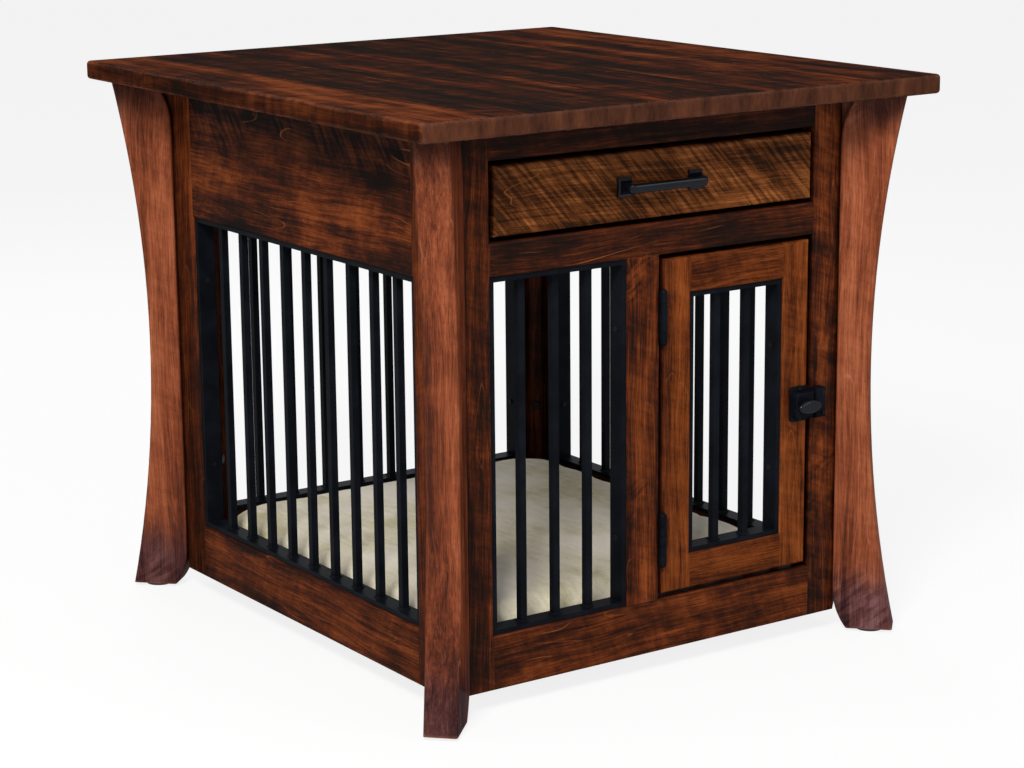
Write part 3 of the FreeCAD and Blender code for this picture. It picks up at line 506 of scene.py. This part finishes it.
# ------------------------------------------------------------ give each board its wood
# the saw's strokes and the darker ends are given as wood() takes them
SLANT = (58, 0.0120, 0.040, 0.04, 0.34, 0.8)         # the saw's strokes on the frames
BAND = (52, 0.0120, 0.070, 0.22, 0.40, 1.0)          # and on the aprons
DENSE = (-47, 0.0050, 0.070, 0.34, 0.34, 2.0)        # and on the drawer front
LEG_SAW = (52, 0.0085, 0.040, 0.16, 0.26, 0.8)       # and at the legs' ends
# darker ends: the legs' feet are darker stain; the legs' tops and the aprons' tops are darker stain with
# painted shadow from the top's overhang
LEG_ENDS_STAIN_AND_SHADE = ((0.655, 0.735, (0.26, 0.36, 0.62), 0.9), (0.125, 0.045, (0.34, 0.52, 1.25), 0.9))
UNDER_TOP_STAIN_AND_SHADE = ((0.640, 0.715, (0.30, 0.38, 0.55), 0.85),)
BOARDS = {
    # node: (face, tone, curl, blotch, line, mineral, saw, shift)
    "front_stile_left": ("front_z", "case", 0.55, 0.7, 0.25, 0.5, SLANT, -0.02),
    "front_stile_right": ("front_z", "case", 0.75, 0.8, 0.25, 0.6, SLANT, 0.02),
    # painted shade: the top rail, under the top's overhang, is set darker than the other boards
    "front_top_rail": ("front_x", "case", 0.3, 0.6, 0.3, 0.5, None, -0.13),
    "front_drawer_rail": ("front_x", "case", 0.25, 0.7, 0.8, 0.3, None, -0.08),
    "front_mullion": ("front_z", "case", 0.5, 0.6, 0.25, 0.4, SLANT, -0.02),
    "front_bottom_rail": ("front_x", "case", 0.4, 0.9, 0.9, 0.3, None, 0.02),
    "left_stile_front": ("side_z", "case", 0.4, 0.6, 0.2, 0.3, None, 0.06),
    "left_stile_rear": ("side_z", "case", 0.3, 0.5, 0.2, 0.3, None, 0.08),
    "left_apron": ("side_y", "case", 0.35, 1.15, 0.9, 0.5, BAND, 0.03),
    "left_bottom_rail": ("side_y", "case", 0.3, 0.8, 0.5, 0.4, None, -0.02),
    "right_stile_front": ("side_z", "case", 0.4, 0.6, 0.2, 0.3, None, 0.0),
    "right_stile_rear": ("side_z", "case", 0.4, 0.6, 0.2, 0.3, None, 0.02),
    "right_apron": ("side_y", "case", 0.3, 1.0, 0.8, 0.5, BAND, 0.03),
    "right_bottom_rail": ("side_y", "case", 0.3, 0.7, 0.5, 0.4, None, 0.0),
    "rear_stile_left": ("front_z", "case", 0.4, 0.6, 0.2, 0.4, None, 0.0),
    "rear_stile_right": ("front_z", "case", 0.4, 0.6, 0.2, 0.4, None, 0.0),
    "rear_apron": ("front_x", "case", 0.3, 1.0, 0.8, 0.5, BAND, 0.03),
    "rear_bottom_rail": ("front_x", "case", 0.3, 0.7, 0.5, 0.3, None, 0.0),
    "corner_posts": ("front_z", "case", 0.3, 0.5, 0.1, 0.2, None, 0.0),
    "door_stop": ("front_z", "case", 0.3, 0.5, 0.1, 0.2, None, -0.10),
    "panel_cleats": ("side_y", "case", 0.3, 0.5, 0.1, 0.2, None, 0.0),
    "drawer_front": ("front_x", "drawer", 0.08, 0.75, 0.45, 0.25, DENSE, 0.06),
    "door_stile_hinge": ("front_z", "door", 0.4, 0.6, 0.2, 0.3, None, -0.08),
    "door_stile_latch": ("front_z", "door", 0.5, 0.6, 0.25, 0.25, None, 0.06),
    "door_rail_top": ("front_x", "door", 0.4, 0.7, 0.4, 0.35, None, -0.08),
    "door_rail_bottom": ("front_x", "door", 0.3, 0.6, 0.4, 0.3, None, -0.02),
    "drawer_side_left": ("side_y", "pale", 0.2, 0.4, 0.3, 0.0, None, 0.0),
    "drawer_side_right": ("side_y", "pale", 0.2, 0.4, 0.3, 0.0, None, 0.0),
    "drawer_back": ("front_x", "pale", 0.2, 0.4, 0.3, 0.0, None, 0.0),
    "drawer_bottom": ("flat_x", "pale", 0.2, 0.4, 0.3, 0.0, None, 0.05),
    "drawer_runners": ("side_y", "pale", 0.2, 0.4, 0.2, 0.0, None, 0.0),
    "floor_panel": ("flat_y", "case", 0.2, 0.6, 0.4, 0.2, None, 0.0),
    "ceiling_panel": ("flat_y", "case", 0.2, 0.6, 0.4, 0.2, None, 0.0),
}
LEGS = {
    # node: (face, seed, curl, mineral, shift, saw)
    "leg_front_left": ("leg_even", 11.3, 0.20, 0.25, -0.15, None),
    "leg_front_right": ("leg_odd", 7.9, 0.30, 0.60, 0.08, LEG_SAW),
    "leg_rear_left": ("leg_odd", 4.1, 0.30, 0.35, -0.05, LEG_SAW),
    "leg_rear_right": ("leg_even", 2.6, 0.30, 0.30, -0.03, LEG_SAW),
}


def give(node, material):
    data = NODES[node].data
    data.materials.clear()
    data.materials.append(material)


SEED_STEP = 0.618                                    # so that no two boards show the same figure
TOP_BOARDS = (0.1009, -0.4034)                       # width of the top's boards, and where the first starts

for i, (node, settings) in enumerate(sorted(BOARDS.items())):
    face, tone, curl, blotch, line, mineral, saw, shift = settings
    # the aprons' tops are darkened, as darker stain and as painted shadow under the top's overhang
    dusk = UNDER_TOP_STAIN_AND_SHADE if node.endswith("_apron") else ()
    # the drawer front's edges are lightened, partly as wear and partly as a painted highlight
    edge_wear_and_highlight = 0.6 if node == "drawer_front" else 0.0
    give(node, wood("wood_" + node, face, tone, 1.0 + i * SEED_STEP, curl, blotch, line, mineral, saw,
                    shift=shift, dusk=dusk, edge_wear_and_highlight=edge_wear_and_highlight))
# the legs' edges are lightened, partly as wear and partly as a painted highlight
for node, (face, seed, curl, mineral, shift, saw) in LEGS.items():
    give(node, wood("wood_" + node, face, "leg", seed, curl, blotch=0.55, line=0.35, mineral=mineral,
                    saw=saw, shift=shift, coat=0.05, dusk=LEG_ENDS_STAIN_AND_SHADE, edge_wear_and_highlight=0.35))
# the top's edges are lightened, mostly as a painted highlight and partly as wear
give("table_top", wood("wood_table_top", "flat_y", "top", seed=3.3, curl=0.8, blotch=0.8, line=0.35,
                       mineral=0.6, boards=TOP_BOARDS, shift=0.02, streak=1.4, coat=0.014, edge_wear_and_highlight=0.9,
                       end_grain=True))

METAL = black_metal("black_metal")
GLOSS = black_metal("black_gloss", (0.0020, 0.0026, 0.0042), 0.30, 500.0, 0.32, 0.09)
SCREW = black_metal("black_screw", (0.0060, 0.0062, 0.0070), 0.36, 1500.0, 0.10, 0.2)
STEEL = steel("zinc_steel")
for node in NODES:
    if node.startswith(("cage_", "hinge_")) or node in ("latch_housing", "latch_strike"):
        give(node, METAL)
for node in ("drawer_pull", "latch_knob"):
    give(node, GLOSS)
for node in ("case_screws", "door_screws", "drawer_pull_screws", "leg_bolts"):
    give(node, SCREW)
for node in ("drawer_slide_rails", "drawer_slide_members", "latch_bolt"):
    give(node, STEEL)
give("leg_glides", glide_plastic())


# ------------------------------------------------------------ cushion
PAD_WIDTH, PAD_HEIGHT = 0.996, 0.98                  # starting size, as a share of the solid's
PAD_LIFT = 0.0003                                    # metres above the solid's underside
PAD_SWELL = 0.007                                    # the most that the cover moves, in metres
VOXEL, QUICK_VOXEL = 0.0065, 0.009
CLOTH_FRAMES = 14
SEAM_HEIGHT = 0.43                                   # share of the pad's height
RIPPLE, SMALL_RIPPLE, CREASE = 0.0028, 0.0011, 0.0018
GATHER, GATHER_REACH, GATHER_WAVES = 0.0011, 0.026, 150.0
GROOVE, GROOVE_WIDTH = 0.0026, 0.0032
PAD_SPARE = 0.004                                    # how far creases may stand out of the solid's box


def swell(obj):
    """A short cloth simulation with pressure inside, its movement capped."""
    before = [v.co.copy() for v in obj.data.vertices]
    c = obj.modifiers.new("cloth", "CLOTH")
    c.settings.quality = 5
    c.settings.mass = 0.25
    c.settings.tension_stiffness = 18
    c.settings.compression_stiffness = 10
    c.settings.shear_stiffness = 8
    c.settings.bending_stiffness = 1.2
    c.settings.use_pressure = True
    c.settings.uniform_pressure_force = 3.5
    c.settings.effector_weights.gravity = 0.0
    c.collision_settings.use_collision = False
    for step in range(1, CLOTH_FRAMES + 1):
        scene.frame_set(step)
    swollen = obj.evaluated_get(bpy.context.evaluated_depsgraph_get())
    after = [v.co.copy() for v in swollen.data.vertices]
    obj.modifiers.remove(c)
    scene.frame_set(1)
    for v, a, b in zip(obj.data.vertices, before, after):
        d = b - a
        if d.length > PAD_SWELL:
            d *= PAD_SWELL / d.length
        v.co = a + d


def cushion():
    obj = bpy.data.objects.new("cushion_pad", NODES["cushion"].data.copy())
    scene.collection.objects.link(obj)
    lo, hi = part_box("cushion")
    mid = (lo + hi) / 2.0
    bpy.ops.object.select_all(action="DESELECT")
    obj.select_set(True)
    bpy.context.view_layer.objects.active = obj
    for v in obj.data.vertices:
        v.co = mid + (v.co - mid) * PAD_WIDTH
        v.co.z = lo.z + PAD_LIFT + (v.co.z - lo.z) * PAD_HEIGHT
    rm = obj.modifiers.new("remesh", "REMESH")
    rm.mode = "VOXEL"
    rm.voxel_size = VOXEL
    bpy.ops.object.modifier_apply(modifier="remesh")
    swell(obj)
    return obj, lo, hi


def wave(x, y, z):
    return noise.noise(Vector((x, y, z)))


def wrinkles(obj, lo, hi):
    """Loose cloth: low ripples on the top, small gathers at the side seam, flat underneath."""
    mid = (lo + hi) / 2.0
    seam_z = lo.z + SEAM_HEIGHT * (hi.z - lo.z)
    hx, hy = (hi.x - lo.x) / 2.0, (hi.y - lo.y) / 2.0
    mesh = obj.data
    mesh.update()
    normals = [v.normal.copy() for v in mesh.vertices]
    for v, normal in zip(mesh.vertices, normals):
        x, y, z = v.co
        rx, ry = abs(x - mid.x) / hx, abs(y - mid.y) / hy
        rim = max(rx, ry) ** 6
        up = max(0.0, normal.z)
        upright = 1.0 - abs(normal.z)
        # long soft creases that cross the pad
        ripple = wave(x * 5.0 + 3.0, y * 13.0, 0.7) * RIPPLE
        small = wave(x * 14.0 + y * 8.0, y * 34.0 - x * 6.0, 4.1) * SMALL_RIPPLE
        ridge = 1.0 - abs(wave(x * 3.2 + 8.0, y * 9.0 + x * 2.0, 2.3)) * 5.0
        top = (ripple + small + max(0.0, ridge) * CREASE) * up * (1.0 - 0.35 * rim)
        # gathers run away from the seam
        run = x if ry * hx / hy > rx * 0.97 else y
        turn = math.atan2(y - mid.y, x - mid.x)
        gather = math.sin(run * GATHER_WAVES + 2.5 * wave(x * 9.0, y * 9.0, 1.0) + turn)
        near_seam = max(0.0, 1.0 - abs(z - seam_z) / GATHER_REACH)
        gather *= GATHER * near_seam * upright
        groove = -GROOVE * math.exp(-((z - seam_z) / GROOVE_WIDTH) ** 2) * upright
        v.co = v.co + normal * (top + gather + groove)
    for v in mesh.vertices:
        v.co.x = max(lo.x - PAD_SPARE, min(hi.x + PAD_SPARE, v.co.x))
        v.co.y = max(lo.y - PAD_SPARE, min(hi.y + PAD_SPARE, v.co.y))
        v.co.z = max(lo.z, min(hi.z + PAD_SPARE, v.co.z))


pad, pad_lo, pad_hi = cushion()
wrinkles(pad, pad_lo, pad_hi)
sub = pad.modifiers.new("subdivision", "SUBSURF")
sub.levels = sub.render_levels = 1
pad.data.materials.clear()
pad.data.materials.append(cloth())
pad.data.polygons.foreach_set("use_smooth", [True] * len(pad.data.polygons))
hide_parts("cushion")
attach(pad, "case")


# ------------------------------------------------------------ floor, world, lamps
FLOOR_HALF, FLOOR_Z = 14.0, -0.0002                  # metres
FLOOR_GREY = 0.90
FLOOR_GLOW = 0.84                                    # share of its own white that the camera sees
WORLD_LIGHT = 0.36                                   # strength of the light that the surroundings give
WHITE = (1.0, 1.0, 1.0, 1.0)


def seen_directly(net):
    """1 on rays from the camera, off a glossy surface or through a clear one, 0 on all others."""
    path = net.new("ShaderNodeLightPath")
    seen = net.math("MAXIMUM", path.outputs["Is Camera Ray"], path.outputs["Is Glossy Ray"])
    return net.math("MAXIMUM", seen, path.outputs["Is Transmission Ray"])


def floor():
    s = FLOOR_HALF
    corners = [(-s, -s, FLOOR_Z), (s, -s, FLOOR_Z), (s, s, FLOOR_Z), (-s, s, FLOOR_Z)]
    mesh = bpy.data.meshes.new("floor")
    mesh.from_pydata(corners, [], [(0, 1, 2, 3)])
    o = bpy.data.objects.new("floor", mesh)
    scene.collection.objects.link(o)
    m = bpy.data.materials.new("floor")
    net = empty_net(m)
    out = net.new("ShaderNodeOutputMaterial")
    matt = net.shader("ShaderNodeBsdfDiffuse", Color=(FLOOR_GREY, FLOOR_GREY, FLOOR_GREY, 1.0))
    glow = net.shader("ShaderNodeEmission", Color=WHITE, Strength=1.0)
    share = net.math("MULTIPLY", seen_directly(net), FLOOR_GLOW)
    net.put(out.inputs[0], net.mix_shaders(share, matt, glow))
    mesh.materials.append(m)


def world():
    w = bpy.data.worlds.new("studio")
    scene.world = w
    net = empty_net(w)
    out = net.new("ShaderNodeOutputWorld")
    soft = net.shader("ShaderNodeBackground", Color=(0.97, 0.98, 1.0, 1.0), Strength=WORLD_LIGHT)
    white = net.shader("ShaderNodeBackground", Color=WHITE, Strength=1.0)
    net.put(out.inputs[0], net.mix_shaders(seen_directly(net), soft, white))


def lamp(name, place, target, size, power, colour=(1.0, 1.0, 1.0)):
    data = bpy.data.lights.new(name, "AREA")
    data.shape = "RECTANGLE"
    data.size, data.size_y = size
    data.energy = power
    data.color = colour
    o = bpy.data.objects.new(name, data)
    o.location = place
    o.rotation_mode = "QUATERNION"
    o.rotation_quaternion = (Vector(target) - Vector(place)).to_track_quat("-Z", "Y")
    scene.collection.objects.link(o)


floor()
world()
lamp("key", (-2.2, -2.1, 3.0), (0.0, 0.0, 0.40), (1.1, 1.1), 150.0, (1.0, 0.985, 0.96))
lamp("fill", (1.6, -3.2, 1.5), (0.0, 0.0, 0.35), (1.6, 1.6), 20.0, (0.96, 0.98, 1.0))
lamp("back", (0.6, 2.6, 2.4), (0.0, 0.0, 0.6), (2.0, 1.0), 30.0)

scene.view_settings.view_transform = "Standard"
